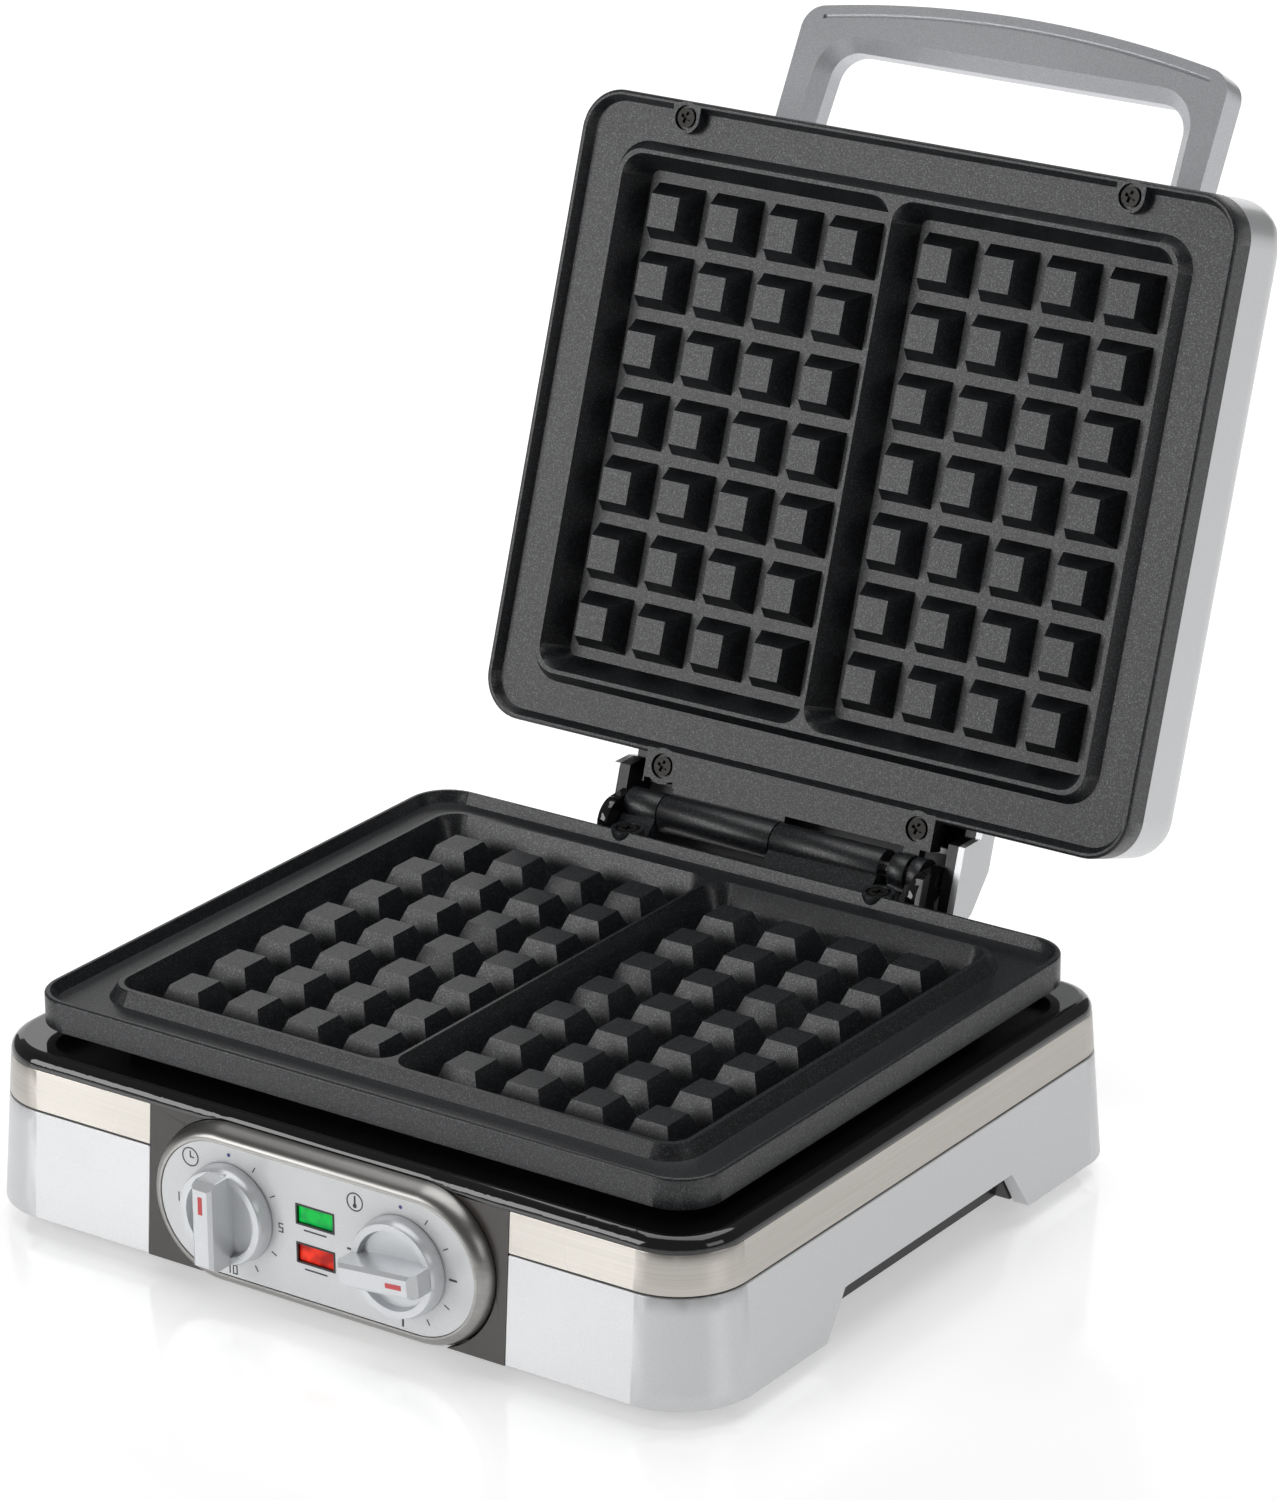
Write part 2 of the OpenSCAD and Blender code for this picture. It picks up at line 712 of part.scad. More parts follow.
module timer_pointer() {
    pointer(-knob_x, 0);
}

module timer_shaft() {
    shaft(-knob_x, 0);
}

module thermostat_knob() {
    knob(knob_x, -85);
}

module thermostat_pointer() {
    pointer(knob_x, -85);
}

module thermostat_shaft() {
    shaft(knob_x, -85);
}

module timer_mechanism() {
    color(steel) placed() on_front() translate([-knob_x, 0, dial_y - 40]) difference() {
        union() {
            translate([-19, -19, 0]) cube([38, 38, 22]);
            cylinder(r = 5.5, h = 28.5);
            translate([0, 0, -8]) cylinder(r1 = 12, r2 = 17, h = 8.1);
        }
        translate([0, 0, 13]) cylinder(r = 3 + run_gap, h = 20);
    }
}

module thermostat_switch() {
    color(zinc) placed() on_front() translate([knob_x, 0, dial_y - 40]) difference() {
        union() {
            cylinder(r = 16, h = 14);
            translate([-12, -17, 4]) cube([24, 34, 16]);
            cylinder(r = 5.5, h = 28.5);
        }
        translate([0, 0, 13]) cylinder(r = 3 + run_gap, h = 20);
    }
}

module thermostat_probe() {
    color(steel) placed() translate([0, 0, plate_z + tray - 2.8]) {
        translate([-20, 0, 0]) rotate([0, 90, 0]) cylinder(r = 2.6, h = 40);
        translate([-10, -5, -2.9]) cube([3, 10, 0.8]);
    }
}

module thermal_fuse() {
    color(zinc) placed() translate([-60, 20, plate_z + tray - 11.4]) {
        rotate([0, 90, 0]) translate([0, 0, -10]) cylinder(r = 2.4, h = 20);
        translate([-3, -6, -3]) cube([6, 12, 0.8]);
    }
}

module terminal_block() {
    color([0.85, 0.85, 0.82]) placed() translate([50, 70, bottom_z + 4.05]) difference() {
        cube([40, 22, 14]);
        for (i = [0 : 2]) translate([7 + i * 13, 11, 5]) cylinder(r = 3, h = 12);
    }
}

// Lead with one bend: along Y, a quarter turn, then along X.
module lead(x, y, z, back, side) {
    translate([x, y, z]) {
        rotate([-90, 0, 0]) cylinder(r = 1.3, h = back);
        translate([side > 0 ? 12 : -12, back, 0]) rotate([0, 0, side > 0 ? 90 : 0])
            rotate_extrude(angle = 90) translate([12, 0]) circle(r = 1.3);
        translate([side > 0 ? 12 : -12, back + 12, 0])
            rotate([0, side > 0 ? 90 : -90, 0]) cylinder(r = 1.3, h = abs(side));
    }
}

module wiring() {
    color([0.75, 0.70, 0.62]) placed() {
        lead(-20, -80, bottom_z + 9, 140, 58);
        lead(26, -80, bottom_z + 12, 120, 12);
        lead(-40, -80, bottom_z + 9, 90, -30);
    }
}

// ---------- lid, drawn shut ----------

module crown(drop) {
    bar_x(crown_r, -200, 200, 0, lid_top - drop - crown_r);
}

// Lid body taken in by t on every side, from height z0 up.
module lid_body(t, z0) {
    h = lid_z + lid_side_h;
    r = lid_round - t;
    intersection() {
        union() {
            translate([0, 0, z0])
                slab(plate_hx - t, -plate_hy + t, plate_hy - t, 15.5 - t, 15.5 - t, h - z0);
            translate([0, 0, z0])
                slab(plate_hx - lid_round, -plate_hy + lid_round, plate_hy - lid_round,
                    0.5, 0.5, h - z0 + r);
            translate([0, 0, h])
                around(plate_hx - lid_round, -plate_hy + lid_round, plate_hy - lid_round,
                    0.5, 0.5)
                intersection() {
                    circle(r = r);
                    translate([-0.5, 0]) square(r + 0.5);
                }
        }
        crown(t);
    }
}

// Side outline of the hinge fairing, taken in by t, with its lower edge at height low.
module fairing_outline(t, low) {
    y1 = hinge_y + 13 - t;
    z1 = 22.4 - t;
    polygon([[plate_hy - 4, z1], [plate_hy - 4, lid_z], [plate_hy + 3.6, lid_z],
        [plate_hy + 3.6, 11.4], [plate_hy + 6.3, low], [y1, low], [y1, z1 - 10],
        [y1 - 3, z1 - 6.6], [y1 - 18, z1]]);
}

module lid_shell() {
    color(silver) placed() opened() difference() {
        union() {
            lid_body(0, lid_z);
            along_x(-cheek_x, cheek_x) fairing_outline(0, 3.1);
        }
        lid_body(lid_wall, lid_z - 1);
        along_x(-cheek_x + 2.5, cheek_x - 2.5) fairing_outline(2.4, -10);
        box(-cheek_x + 2.5, cheek_x - 2.5, plate_hy - 8, plate_hy + 3, -10, lid_z + 5);
        for (s = [-1, 1]) handle_screw_place(s) cylinder(r = 2, h = 30, center = true);
    }
}

module handle_screw_place(s) {
    translate([s * 82, -92, lid_top - 7.4]) children();
}

module lid_liner() {
    g = lid_wall + 0.2;
    color(black) placed() opened() {
        // Frame that the plate is screwed to.
        difference() {
            translate([0, 0, lid_z + 0.05])
                slab(plate_hx - g, -plate_hy + g, plate_hy - g, 15.5 - g, 15.5 - g, 2.6);
            translate([0, 0, lid_z - 1])
                slab(cavity_out + 7.5, -cavity_hy - 7.5, cavity_hy + 7.5, 10, 10, 8);
            for (s = [-1, 1])
                translate([s * front_screw[0], front_screw[1], lid_z - 1]) cylinder(r = 2, h = 8);
        }
        // Screw posts above the rear tab.
        for (s = [-1, 1]) translate([s * rear_screw[0], rear_screw[1], lid_z - 1.55])
            difference() {
                cylinder(r = 3.6, h = 8);
                translate([0, 0, -1]) cylinder(r = 2, h = 8);
            }
        box(-70, 70, plate_hy - 4, plate_hy + 10, lid_z + 4.5, lid_z + 6.5);
        // Black cheeks inside the silver ones.
        for (s = [-1, 1]) {
            x0 = s > 0 ? 66.8 : -70.8;
            difference() {
                along_x(x0, x0 + 4) fairing_outline(2.6, 3.3);
                box(-100, 100, 0, plate_hy + 0.6, -20, lid_z + 0.04);
            }
        }
    }
}

// Flat outline of the handle: arched front bar with two legs.
module handle_outline() {
    big_r = 473;
    r = 9;
    cy = big_r - handle_front;
    corner_y = cy - sqrt((big_r - r) * (big_r - r) - (handle_hx - r) * (handle_hx - r));
    intersection() {
        translate([0, cy]) circle(r = big_r);
        polygon([[0, cy], [-(handle_hx - r), corner_y], [-(handle_hx - r) * 1.05, -400],
            [(handle_hx - r) * 1.05, -400], [handle_hx - r, corner_y]]);
        translate([-200, -400]) square([400, 400 + handle_end_y]);
    }
    for (s = [-1, 1]) translate([s * (handle_hx - r), corner_y]) circle(r = r);
    translate([-handle_hx, corner_y]) square([2 * handle_hx, handle_end_y - corner_y]);
}

module handle() {
    color(silver) placed() opened() difference() {
        union() {
            on_handle() difference() {
                linear_extrude(handle_t) handle_outline();
                translate([0, 0, -1]) linear_extrude(handle_t + 2) handle_opening();
                handle_chamfer();
                // Groove along the front edge.
                translate([0, 0, -1]) linear_extrude(2.2) intersection() {
                    difference() {
                        translate([0, groove_cy]) circle(r = 469.6);
                        translate([0, groove_cy]) circle(r = 468.2);
                    }
                    translate([-80, -200]) square([160, 100]);
                }
            }
            // Feet that stand on the lid.
            for (s = [0, 1]) mirror([s, 0, 0])
                along_x(handle_gap_hx + 3.4, handle_hx)
                polygon([[-112, handle_root_z], [-104, 30], [-80, 30],
                    [handle_end_y, handle_root_z]]);
        }
        lid_body(0, lid_z);
        for (s = [-1, 1]) handle_screw_place(s) cylinder(r = 1.6, h = 34, center = true);
    }
}

// Plane of the handle's underside, leaning up towards the front.
module on_handle() {
    translate([0, handle_root_y, handle_root_z]) rotate([-handle_lean, 0, 0])
        translate([0, -handle_root_y, 0]) children();
}

module handle_opening() {
    y0 = -handle_front + 21;
    polygon([[-handle_gap_hx + 11, y0], [handle_gap_hx - 11, y0], [handle_gap_hx, y0 + 10],
        [handle_gap_hx + 3, -60], [-handle_gap_hx - 3, -60], [-handle_gap_hx, y0 + 10]]);
    for (s = [-1, 1]) translate([s * (handle_gap_hx - 10.5), y0 + 10.5]) circle(r = 10.5);
}

// Slope round the opening on the underside.
module handle_chamfer() {
    y0 = -handle_front + 31.5;
    x0 = handle_gap_hx - 10.5;
    for (s = [0, 1]) mirror([s, 0, 0]) {
        translate([x0, y0, -0.01]) cylinder(r1 = 15.4, r2 = 10.4, h = 5);
        translate([x0, y0, 0]) rotate([0, 0, -2.2]) rotate([90, 0, 180]) linear_extrude(80)
            polygon([[0, -0.01], [-15.4, -0.01], [-10.4, 4.99], [0, 4.99]]);
    }
    along_x(-x0, x0)
        polygon([[y0, -0.01], [y0 - 15.4, -0.01], [y0 - 10.4, 4.99], [y0, 4.99]]);
}

module handle_screws() {
    color(zinc) placed() opened() for (s = [-1, 1]) handle_screw_place(s)
        mirror([0, 0, 1]) screw(3.6, 1.6, 1.55, 14);
}

// ---------- the part ----------

base_housing();
trim_band();
deck();
front_panel();
bottom_cover();
rubber_feet();
bottom_screws();
lower_plate();
lower_plate_screws();
lower_element();
lower_reflector();
hinge_pin();
control_bezel();
dial_plate();
lamp_frames();
ready_lamp();
power_lamp();
timer_mechanism();
thermostat_switch();
thermostat_probe();
thermal_fuse();
terminal_block();
wiring();
cord_gland();
timer_knob();
timer_pointer();
timer_shaft();
thermostat_knob();
thermostat_pointer();
thermostat_shaft();
lid_shell();
lid_liner();
lid_plate();
lid_plate_screws();
lid_element();
lid_reflector();
handle();
handle_screws();
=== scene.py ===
import math

import bmesh
import bpy
from mathutils import Matrix, Vector


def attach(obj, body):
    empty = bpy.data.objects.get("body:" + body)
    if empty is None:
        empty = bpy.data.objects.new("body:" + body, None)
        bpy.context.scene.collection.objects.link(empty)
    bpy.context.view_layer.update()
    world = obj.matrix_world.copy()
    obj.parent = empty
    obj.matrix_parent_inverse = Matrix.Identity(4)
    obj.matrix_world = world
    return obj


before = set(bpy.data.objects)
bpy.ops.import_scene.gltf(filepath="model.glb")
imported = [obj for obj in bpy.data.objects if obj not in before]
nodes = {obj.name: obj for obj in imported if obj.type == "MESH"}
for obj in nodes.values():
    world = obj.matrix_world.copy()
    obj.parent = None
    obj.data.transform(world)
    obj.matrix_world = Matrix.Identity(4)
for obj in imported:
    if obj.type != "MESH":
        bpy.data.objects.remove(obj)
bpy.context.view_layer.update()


# ---------------------------------------------------------------- materials

def material(name):
    mat = bpy.data.materials.new(name)
    mat.use_nodes = True
    tree = mat.node_tree
    return mat, tree, tree.nodes["Principled BSDF"]


def add(tree, kind, inputs=None, **props):
    node = tree.nodes.new(kind)
    for k, v in props.items():
        setattr(node, k, v)
    for k, v in (inputs or {}).items():
        node.inputs[k].default_value = v
    return node


def coords(tree, scale=(1, 1, 1)):
    tex = add(tree, "ShaderNodeTexCoord")
    mapping = add(tree, "ShaderNodeMapping", {"Scale": scale})
    tree.links.new(tex.outputs["Object"], mapping.inputs["Vector"])
    return mapping.outputs["Vector"]


def noise(tree, vector, scale, detail=3.0, rough=0.5):
    n = add(tree, "ShaderNodeTexNoise", {"Scale": scale, "Detail": detail, "Roughness": rough})
    tree.links.new(vector, n.inputs["Vector"])
    return n.outputs["Fac"]


def span(tree, value, a, b, lo, hi):
    n = add(tree, "ShaderNodeMapRange", {1: a, 2: b, 3: lo, 4: hi})
    tree.links.new(value, n.inputs[0])
    return n.outputs[0]


def blend(tree, value, low, high, a=0.3, b=0.7):
    n = add(tree, "ShaderNodeValToRGB")
    n.color_ramp.elements[0].position = a
    n.color_ramp.elements[0].color = (*low, 1)
    n.color_ramp.elements[1].position = b
    n.color_ramp.elements[1].color = (*high, 1)
    tree.links.new(value, n.inputs[0])
    return n.outputs["Color"]


def bump(tree, shader, height, strength, distance):
    n = add(tree, "ShaderNodeBump", {"Strength": strength, "Distance": distance})
    tree.links.new(height, n.inputs["Height"])
    tree.links.new(n.outputs["Normal"], shader.inputs["Normal"])


def silver_paint(name, low, high, rough, flake, metal=0.55):
    """Satin paint with fine metal flakes."""
    mat, t, s = material(name)
    s.inputs["Metallic"].default_value = metal
    s.inputs["Coat Weight"].default_value = 0.25
    s.inputs["Coat Roughness"].default_value = 0.12
    v = coords(t)
    fine = noise(t, v, 2600, 2.0, 0.6)
    broad = noise(t, v, 9, 2.0)
    t.links.new(blend(t, fine, low, high, 0.35, 0.68), s.inputs["Base Color"])
    t.links.new(span(t, broad, 0.3, 0.7, rough - 0.03, rough + 0.03), s.inputs["Roughness"])
    bump(t, s, fine, flake, 0.0002)
    return mat


def brushed(name, low, high, rough, stretch, strength=0.06):
    """Bare metal with a grain, drawn out by the stretch along each axis."""
    mat, t, s = material(name)
    s.inputs["Metallic"].default_value = 1.0
    lines = noise(t, coords(t, stretch), 60, 4.0, 0.6)
    broad = noise(t, coords(t), 14, 2.0)
    t.links.new(blend(t, lines, low, high), s.inputs["Base Color"])
    t.links.new(span(t, broad, 0.3, 0.7, rough - 0.04, rough + 0.05), s.inputs["Roughness"])
    bump(t, s, lines, strength, 0.0003)
    return mat


def plastic(name, low, high, rough, grain, strength, coat=0.0):
    """Moulded plastic or print with a fine grain; coat adds gloss."""
    mat, t, s = material(name)
    s.inputs["Coat Weight"].default_value = coat
    s.inputs["Coat Roughness"].default_value = 0.05
    v = coords(t)
    fine = noise(t, v, grain, 3.0)
    broad = noise(t, v, 12, 2.0)
    t.links.new(blend(t, broad, low, high), s.inputs["Base Color"])
    t.links.new(span(t, fine, 0.3, 0.7, rough - 0.03, rough + 0.03), s.inputs["Roughness"])
    bump(t, s, fine, strength, 0.0002)
    return mat


def nonstick(name):
    """Dark coating with pale specks."""
    mat, t, s = material(name)
    s.inputs["Specular IOR Level"].default_value = 0.6
    v = coords(t)
    grain = noise(t, v, 1900, 2.0, 0.75)
    soft = noise(t, v, 800, 3.0, 0.6)
    broad = noise(t, v, 16, 2.0)
    base = blend(t, broad, (0.0022, 0.0024, 0.0028), (0.0032, 0.0034, 0.0040))
    dots = span(t, grain, 0.52, 0.70, 0.0, 0.6)
    mix = add(t, "ShaderNodeMix", data_type="RGBA")
    t.links.new(dots, mix.inputs[0])
    t.links.new(base, mix.inputs[6])
    mix.inputs[7].default_value = (0.125, 0.140, 0.165, 1)
    t.links.new(mix.outputs[2], s.inputs["Base Color"])
    t.links.new(span(t, grain, 0.35, 0.65, 0.44, 0.30), s.inputs["Roughness"])
    bump(t, s, soft, 0.16, 0.0002)
    return mat


def lamp_lens(name, deep, bright, glow):
    """Lit, ribbed lens, deeper in colour at its shaded places."""
    mat, t, s = material(name)
    s.inputs["Base Color"].default_value = (*(0.4 * c for c in deep), 1)
    s.inputs["Roughness"].default_value = 0.12
    s.inputs["Specular IOR Level"].default_value = 0.15
    s.inputs["Emission Strength"].default_value = glow
    v = coords(t)
    ribs = add(t, "ShaderNodeTexWave", {"Scale": 160.0})
    t.links.new(v, ribs.inputs["Vector"])
    t.links.new(blend(t, noise(t, v, 170, 1.0), deep, bright, 0.36, 0.60),
                s.inputs["Emission Color"])
    bump(t, s, ribs.outputs["Fac"], 0.08, 0.0002)
    return mat


M = {
    "silver": silver_paint("silver_satin_paint", (0.62, 0.625, 0.635), (0.68, 0.685, 0.695), 0.34,
                           0.015),
    "knob": silver_paint("knob_satin_silver", (0.62, 0.635, 0.655), (0.67, 0.685, 0.705), 0.30,
                         0.015, 0.35),
    "handle": silver_paint("handle_metallic_silver", (0.50, 0.51, 0.53), (0.68, 0.69, 0.715),
                           0.34, 0.05, 0.6),
    "band": brushed("band_brushed_steel", (0.46, 0.435, 0.40), (0.52, 0.495, 0.46), 0.28,
                    (0.2, 0.2, 40), 0.03),
    "bezel": brushed("bezel_rolled_metal", (0.30, 0.295, 0.285), (0.36, 0.355, 0.345), 0.30,
                     (0.3, 8, 8), 0.03),
    "dial": silver_paint("dial_satin_white", (0.68, 0.69, 0.70), (0.74, 0.75, 0.76), 0.36, 0.01,
                         0.15),
    "deck": plastic("deck_gloss_black", (0.005, 0.005, 0.005), (0.008, 0.008, 0.008), 0.07, 300,
                    0.01, 0.5),
    "panel": plastic("panel_dark_brown", (0.036, 0.030, 0.027), (0.046, 0.039, 0.035), 0.24, 1400,
                     0.04),
    "black": plastic("black_satin_plastic", (0.008, 0.008, 0.009), (0.012, 0.012, 0.013), 0.34,
                     900, 0.08),
    "rubber": plastic("black_rubber", (0.010, 0.010, 0.010), (0.018, 0.018, 0.018), 0.72, 1600,
                      0.25),
    "plate": nonstick("nonstick_speckled"),
    "zinc": brushed("zinc_plated_steel", (0.30, 0.30, 0.31), (0.40, 0.40, 0.41), 0.36,
                    (30, 30, 30)),
    "screw": brushed("dark_plated_steel", (0.040, 0.039, 0.037), (0.070, 0.068, 0.064), 0.50,
                     (30, 30, 30)),
    "pin": brushed("ground_steel", (0.40, 0.40, 0.40), (0.52, 0.52, 0.52), 0.25, (1, 30, 30)),
    "sheet": brushed("bright_sheet", (0.62, 0.62, 0.62), (0.76, 0.76, 0.76), 0.28, (1, 25, 1)),
    "element": brushed("heat_tinted_tube", (0.22, 0.18, 0.15), (0.36, 0.33, 0.30), 0.42,
                       (8, 8, 8)),
    "green": lamp_lens("green_lamp_lens", (0.0, 0.13, 0.045), (0.0, 0.48, 0.05), 1.0),
    "red": lamp_lens("red_lamp_lens", (0.30, 0.006, 0.003), (0.85, 0.035, 0.010), 1.0),
    "pointer": plastic("pointer_red", (0.60, 0.06, 0.07), (0.70, 0.09, 0.10), 0.4, 1200, 0.1),
    "ink": plastic("dial_print_grey", (0.035, 0.035, 0.05), (0.060, 0.060, 0.075), 0.5, 2000,
                   0.05),
    "ink_blue": plastic("dial_print_blue", (0.05, 0.07, 0.24), (0.07, 0.09, 0.30), 0.5, 2000,
                        0.05),
    "ceramic": plastic("white_ceramic", (0.62, 0.61, 0.58), (0.72, 0.71, 0.68), 0.4, 500, 0.1),
    "lead": plastic("lead_sleeving", (0.52, 0.46, 0.36), (0.64, 0.58, 0.48), 0.7, 3000, 0.5),
}

LOOK = {
    "base_housing": "silver", "trim_band": "band", "deck": "deck", "front_panel": "panel",
    "bottom_cover": "black", "rubber_feet": "rubber", "bottom_screws": "zinc",
    "lower_plate": "plate", "lower_plate_screws": "screw", "lower_element": "element",
    "lower_reflector": "sheet", "hinge_pin": "pin", "control_bezel": "bezel",
    "dial_plate": "dial", "lamp_frames": "black", "ready_lamp": "green", "power_lamp": "red",
    "timer_mechanism": "zinc", "thermostat_switch": "zinc", "thermostat_probe": "pin",
    "thermal_fuse": "zinc", "terminal_block": "ceramic", "wiring": "lead",
    "cord_gland": "black", "timer_knob": "knob", "timer_pointer": "pointer",
    "timer_shaft": "pin", "thermostat_knob": "knob", "thermostat_pointer": "pointer",
    "thermostat_shaft": "pin", "lid_shell": "silver", "lid_liner": "black",
    "lid_plate": "plate", "lid_plate_screws": "screw", "lid_element": "element",
    "lid_reflector": "sheet", "handle": "handle", "handle_screws": "zinc",
}
for name, obj in nodes.items():
    obj.data.materials.clear()
    obj.data.materials.append(M[LOOK[name]])


# ---------------------------------------------------------------- edges

def soften(name, width):
    """Small rounding on the sharp edges of a CAD piece."""
    obj = nodes[name]
    weld = obj.modifiers.new("weld", "WELD")
    weld.merge_threshold = 0.00002
    if name in ("lower_plate", "lid_plate"):
        flat = obj.modifiers.new("flat", "DECIMATE")
        flat.decimate_type = "DISSOLVE"
        flat.angle_limit = math.radians(0.1)
    bevel = obj.modifiers.new("edge", "BEVEL")
    bevel.width = width
    bevel.segments = 2
    bevel.limit_method = "ANGLE"
    bevel.angle_limit = math.radians(32)
    bevel.harden_normals = True


EDGE_WIDTH = {
    "lower_plate": 0.0007, "lid_plate": 0.0007, "timer_knob": 0.0006,
    "thermostat_knob": 0.0006, "base_housing": 0.0005, "trim_band": 0.0004,
    "front_panel": 0.0004, "lid_liner": 0.0004, "deck": 0.0005, "dial_plate": 0.0003,
    "bottom_cover": 0.0004, "cord_gland": 0.0006, "rubber_feet": 0.0006,
}
for name, width in EDGE_WIDTH.items():
    soften(name, width)


# ---------------------------------------------------------------- print on the dial plate

DIAL_FACE_Y = -0.20892
FIELD_Z = 0.0326
PRINT_DEPTH = 0.00012
FRONT_Y = DIAL_FACE_Y - 0.00006
TIMER_X, THERMOSTAT_X = -0.0345, 0.0345
MARK_RING = 0.0202


def on_plate(name, outlines, ink):
    """Flat raised print: closed outlines in (x, z) metres on the dial plate."""
    verts, faces = [], []
    for outline in outlines:
        base = len(verts)
        n = len(outline)
        verts += [(x, FRONT_Y - PRINT_DEPTH / 2, FIELD_Z + z) for x, z in outline]
        verts += [(x, FRONT_Y + PRINT_DEPTH / 2, FIELD_Z + z) for x, z in outline]
        faces.append([base + i for i in range(n)])
        faces.append([base + n + i for i in reversed(range(n))])
        faces += [[base + i, base + n + i, base + n + (i + 1) % n, base + (i + 1) % n]
                  for i in range(n)]
    piece = bpy.data.meshes.new(name)
    piece.from_pydata(verts, [], faces)
    piece.materials.append(M[ink])
    bm = bmesh.new()
    bm.from_mesh(piece)
    bmesh.ops.recalc_face_normals(bm, faces=bm.faces)
    bm.to_mesh(piece)
    bm.free()
    obj = bpy.data.objects.new(name, piece)
    bpy.context.scene.collection.objects.link(obj)
    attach(obj, "base")
    return obj


def bar(x, z, angle, length, width):
    """Thin bar centred at (x, z), turned clockwise by angle from upright."""
    a = math.radians(angle)
    u, w = (math.sin(a), math.cos(a)), (math.cos(a), -math.sin(a))
    return [(x + u[0] * i * length / 2 + w[0] * j * width / 2,
             z + u[1] * i * length / 2 + w[1] * j * width / 2)
            for i, j in ((-1, -1), (1, -1), (1, 1), (-1, 1))]


def disc(x, z, r, n=24):
    """Filled circle as one outline."""
    return [(x + r * math.cos(2 * math.pi * i / n), z + r * math.sin(2 * math.pi * i / n))
            for i in range(n)]


def ring(x, z, r, width, n=40):
    """Ring as small quads, so that every outline stays simple."""
    out = []
    for i in range(n):
        a, b = 2 * math.pi * i / n, 2 * math.pi * (i + 1) / n
        out.append([(x + k * math.cos(t), z + k * math.sin(t))
                    for k, t in ((r, a), (r, b), (r - width, b), (r - width, a))])
    return out


def around(cx, angle, r):
    """Point at a clockwise angle from upright on a circle about a knob."""
    a = math.radians(angle)
    return cx + r * math.sin(a), r * math.cos(a)


for side, cx in (("timer", TIMER_X), ("thermostat", THERMOSTAT_X)):
    marks = []
    for angle in range(30, 300, 30):
        big = angle % 90 == 0
        if side == "timer" and big:
            continue  # the timer has figures there
        x, z = around(cx, angle, MARK_RING)
        marks.append(bar(x, z, angle, 0.0030 if big else 0.0022, 0.0007 if big else 0.00035))
    on_plate(side + "_marks", marks, "ink")
    x, z = around(cx, 0, MARK_RING)
    on_plate(side + "_zero_dot", [disc(x, z, 0.00065)], "ink_blue")

# Figures made of strokes, each stroke a thin bar: height, width and stroke width of a figure.
FIGURES = {"1": "i", "5": "acdfg", "0": "abcdef"}
H, W, T = 0.0029, 0.0015, 0.00034
FIGURE_PITCH = 0.0023
STROKES = {"a": (0, H / 2, 90, W), "d": (0, -H / 2, 90, W), "g": (0, 0, 90, W),
           "f": (-W / 2, H / 4, 0, H / 2), "e": (-W / 2, -H / 4, 0, H / 2),
           "i": (0.0002, 0, 0, H), "b": (W / 2, H / 4, 0, H / 2), "c": (W / 2, -H / 4, 0, H / 2)}
for text, angle in (("5", 90), ("10", 180), ("15", 270)):
    cx, cz = around(TIMER_X, angle, 0.0206 if len(text) == 1 else 0.0203)
    out = []
    for i, figure in enumerate(text):
        shift = (i - (len(text) - 1) / 2) * FIGURE_PITCH
        for stroke in FIGURES[figure]:
            x, z, turned, length = STROKES[stroke]
            out.append(bar(cx + shift + x, cz + z, turned, length + T, T))
    on_plate("figure_" + text, out, "ink")

x, z = -0.0504, 0.0481 - FIELD_Z
on_plate("clock_sign", ring(x, z, 0.00335, 0.0004)
         + [bar(x, z + 0.0010, 0, 0.0022, 0.0004), bar(x + 0.0007, z, 90, 0.0016, 0.0004)], "ink")
x, z = 0.0163, 0.0497 - FIELD_Z
on_plate("thermometer_sign", ring(x, z, 0.00325, 0.0004)
         + [disc(x, z - 0.0014, 0.00075), bar(x, z + 0.0005, 0, 0.0032, 0.0006)], "ink")
for name, z in (("ready_line", 0.0016), ("power_line", -0.0122)):
    on_plate(name, [bar(0, z, 90, 0.0090, 0.0005)], "ink")


# ---------------------------------------------------------------- stage, light, camera

floor_mat, _, floor_shader = material("floor_pale")
floor_shader.inputs["Base Color"].default_value = (0.86, 0.86, 0.86, 1)
floor_shader.inputs["Emission Color"].default_value = (1, 1, 1, 1)
floor_shader.inputs["Emission Strength"].default_value = 0.46
floor_shader.inputs["Roughness"].default_value = 0.12
floor_shader.inputs["Specular IOR Level"].default_value = 0.9
mesh = bpy.data.meshes.new("floor")
mesh.from_pydata([(-8, -8, 0), (8, -8, 0), (8, 8, 0), (-8, 8, 0)], [], [(0, 1, 2, 3)])
mesh.materials.append(floor_mat)
floor = bpy.data.objects.new("floor", mesh)
bpy.context.scene.collection.objects.link(floor)

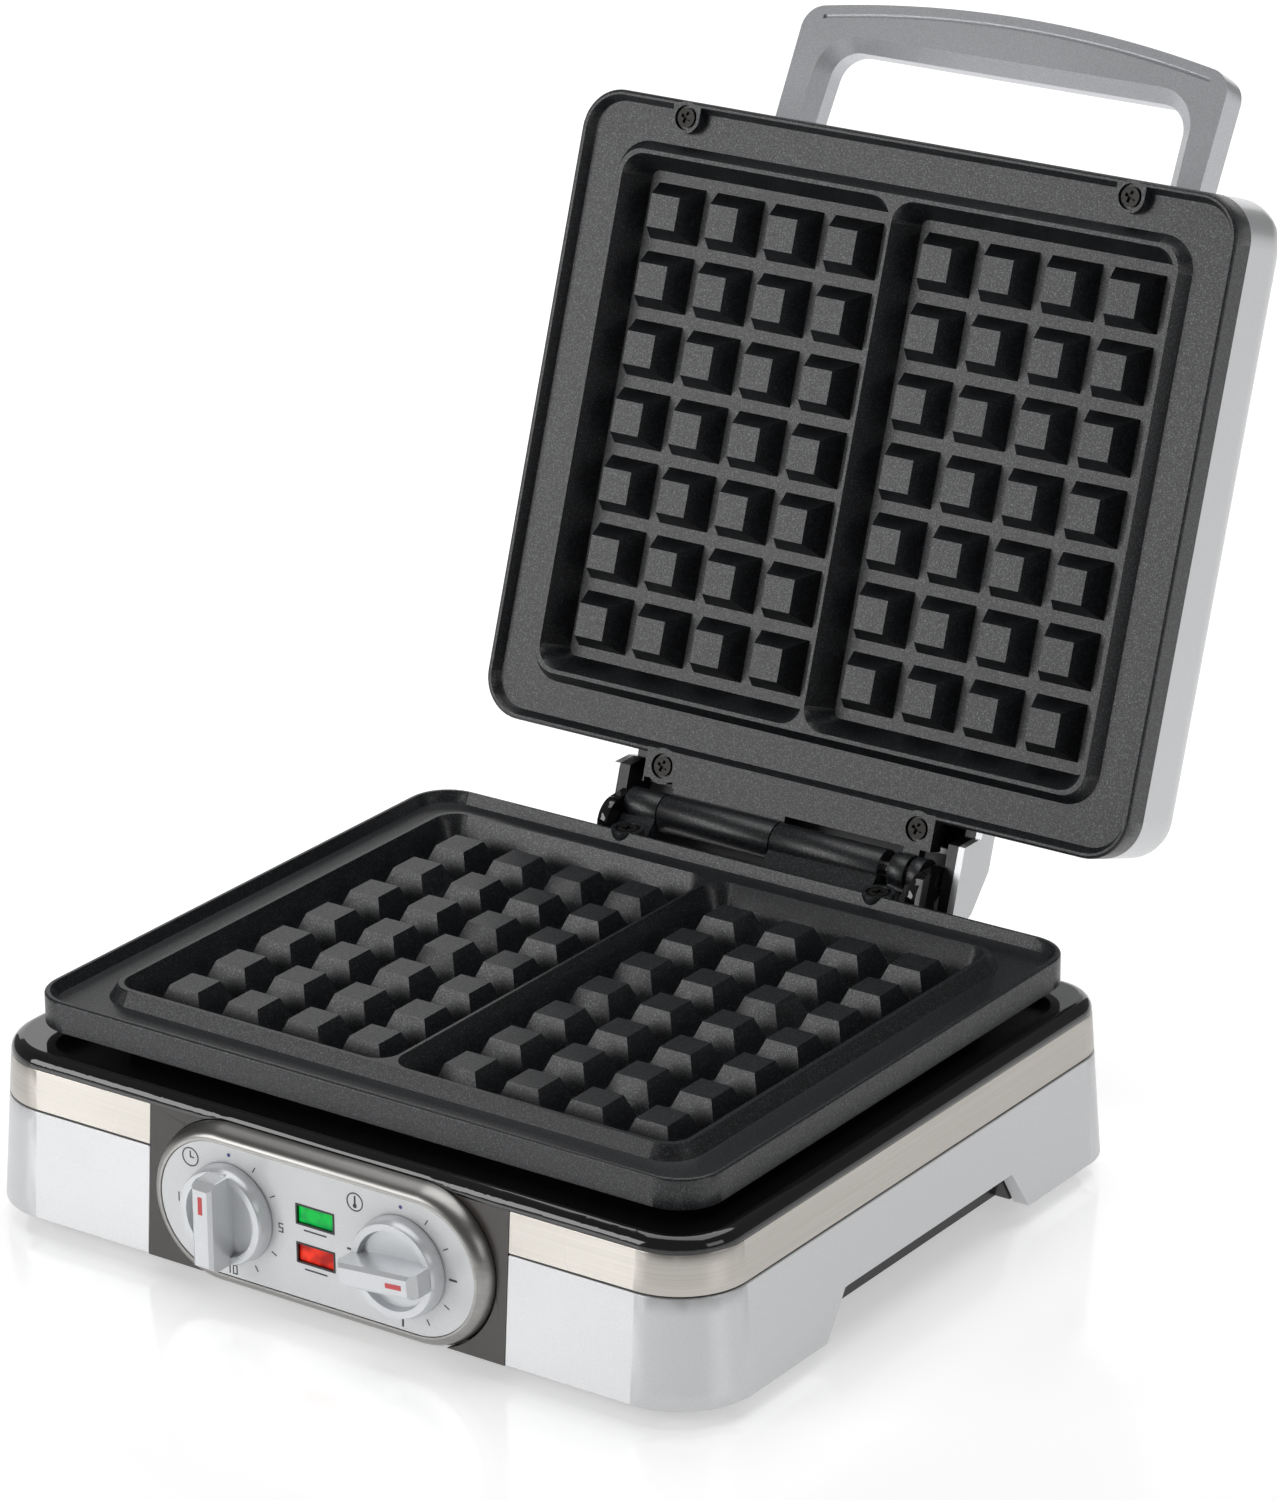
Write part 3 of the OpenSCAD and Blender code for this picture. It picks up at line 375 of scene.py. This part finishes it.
world = bpy.data.worlds.new("studio")
world.use_nodes = True
world.node_tree.nodes["Background"].inputs[0].default_value = (1, 1, 1, 1)
world.node_tree.nodes["Background"].inputs[1].default_value = 0.14
bpy.context.scene.world = world


def area(name, place, target, power, size_x, size_y):
    """Rectangular soft light at a place, facing the target."""
    light = bpy.data.lights.new(name, "AREA")
    light.energy = power
    light.shape = "RECTANGLE"
    light.size = size_x
    light.size_y = size_y
    obj = bpy.data.objects.new(name, light)
    obj.location = place
    obj.rotation_euler = (Vector(target) - Vector(place)).to_track_quat("-Z", "Y").to_euler()
    bpy.context.scene.collection.objects.link(obj)


area("top", (-0.1, 0.6, 2.4), (0, 0.2, 0.1), 36, 2.6, 2.2)
area("left_front", (-1.3, -1.9, 0.8), (0, 0, 0.2), 16, 1.2, 1.0)
area("backdrop", (-2.9, 4.4, 1.3), (0, 0, 0.3), 42, 5.5, 2.6)
area("right", (2.2, -0.2, 0.9), (0, 0, 0.15), 4, 1.0, 0.8)

# The photograph's viewpoint, worked out from the plates' grid.
where = Vector((1.100404, -1.599493, 0.887472))
right = Vector((0.835338, 0.549725, 0.003614)).normalized()
ahead = Vector((-0.511746, 0.779995, -0.360172)).normalized()
up = right.cross(ahead).normalized()
FOCAL = 6133.806
IMAGE_W, IMAGE_H = 1277, 1500
CENTRE_X, CENTRE_Y = 809.689, 735.118
off_x, off_y = IMAGE_W / 2 - CENTRE_X, IMAGE_H / 2 - CENTRE_Y
aim = (ahead * FOCAL + right * off_x - up * off_y).normalized()
turn = ahead.rotation_difference(aim)
right, up = turn @ right, turn @ up
rotation = Matrix((right, up, -aim)).transposed()
cam_data = bpy.data.cameras.new("camera")
cam_data.sensor_fit = "VERTICAL"
SENSOR = 24.0
cam_data.sensor_height = SENSOR
cam_data.lens = SENSOR * FOCAL / IMAGE_H
cam_data.clip_start, cam_data.clip_end = 0.05, 50
camera = bpy.data.objects.new("camera", cam_data)
camera.matrix_world = Matrix.Translation(where) @ rotation.to_4x4()
bpy.context.scene.collection.objects.link(camera)
bpy.context.scene.camera = camera

bpy.context.scene.view_settings.view_transform = "Standard"
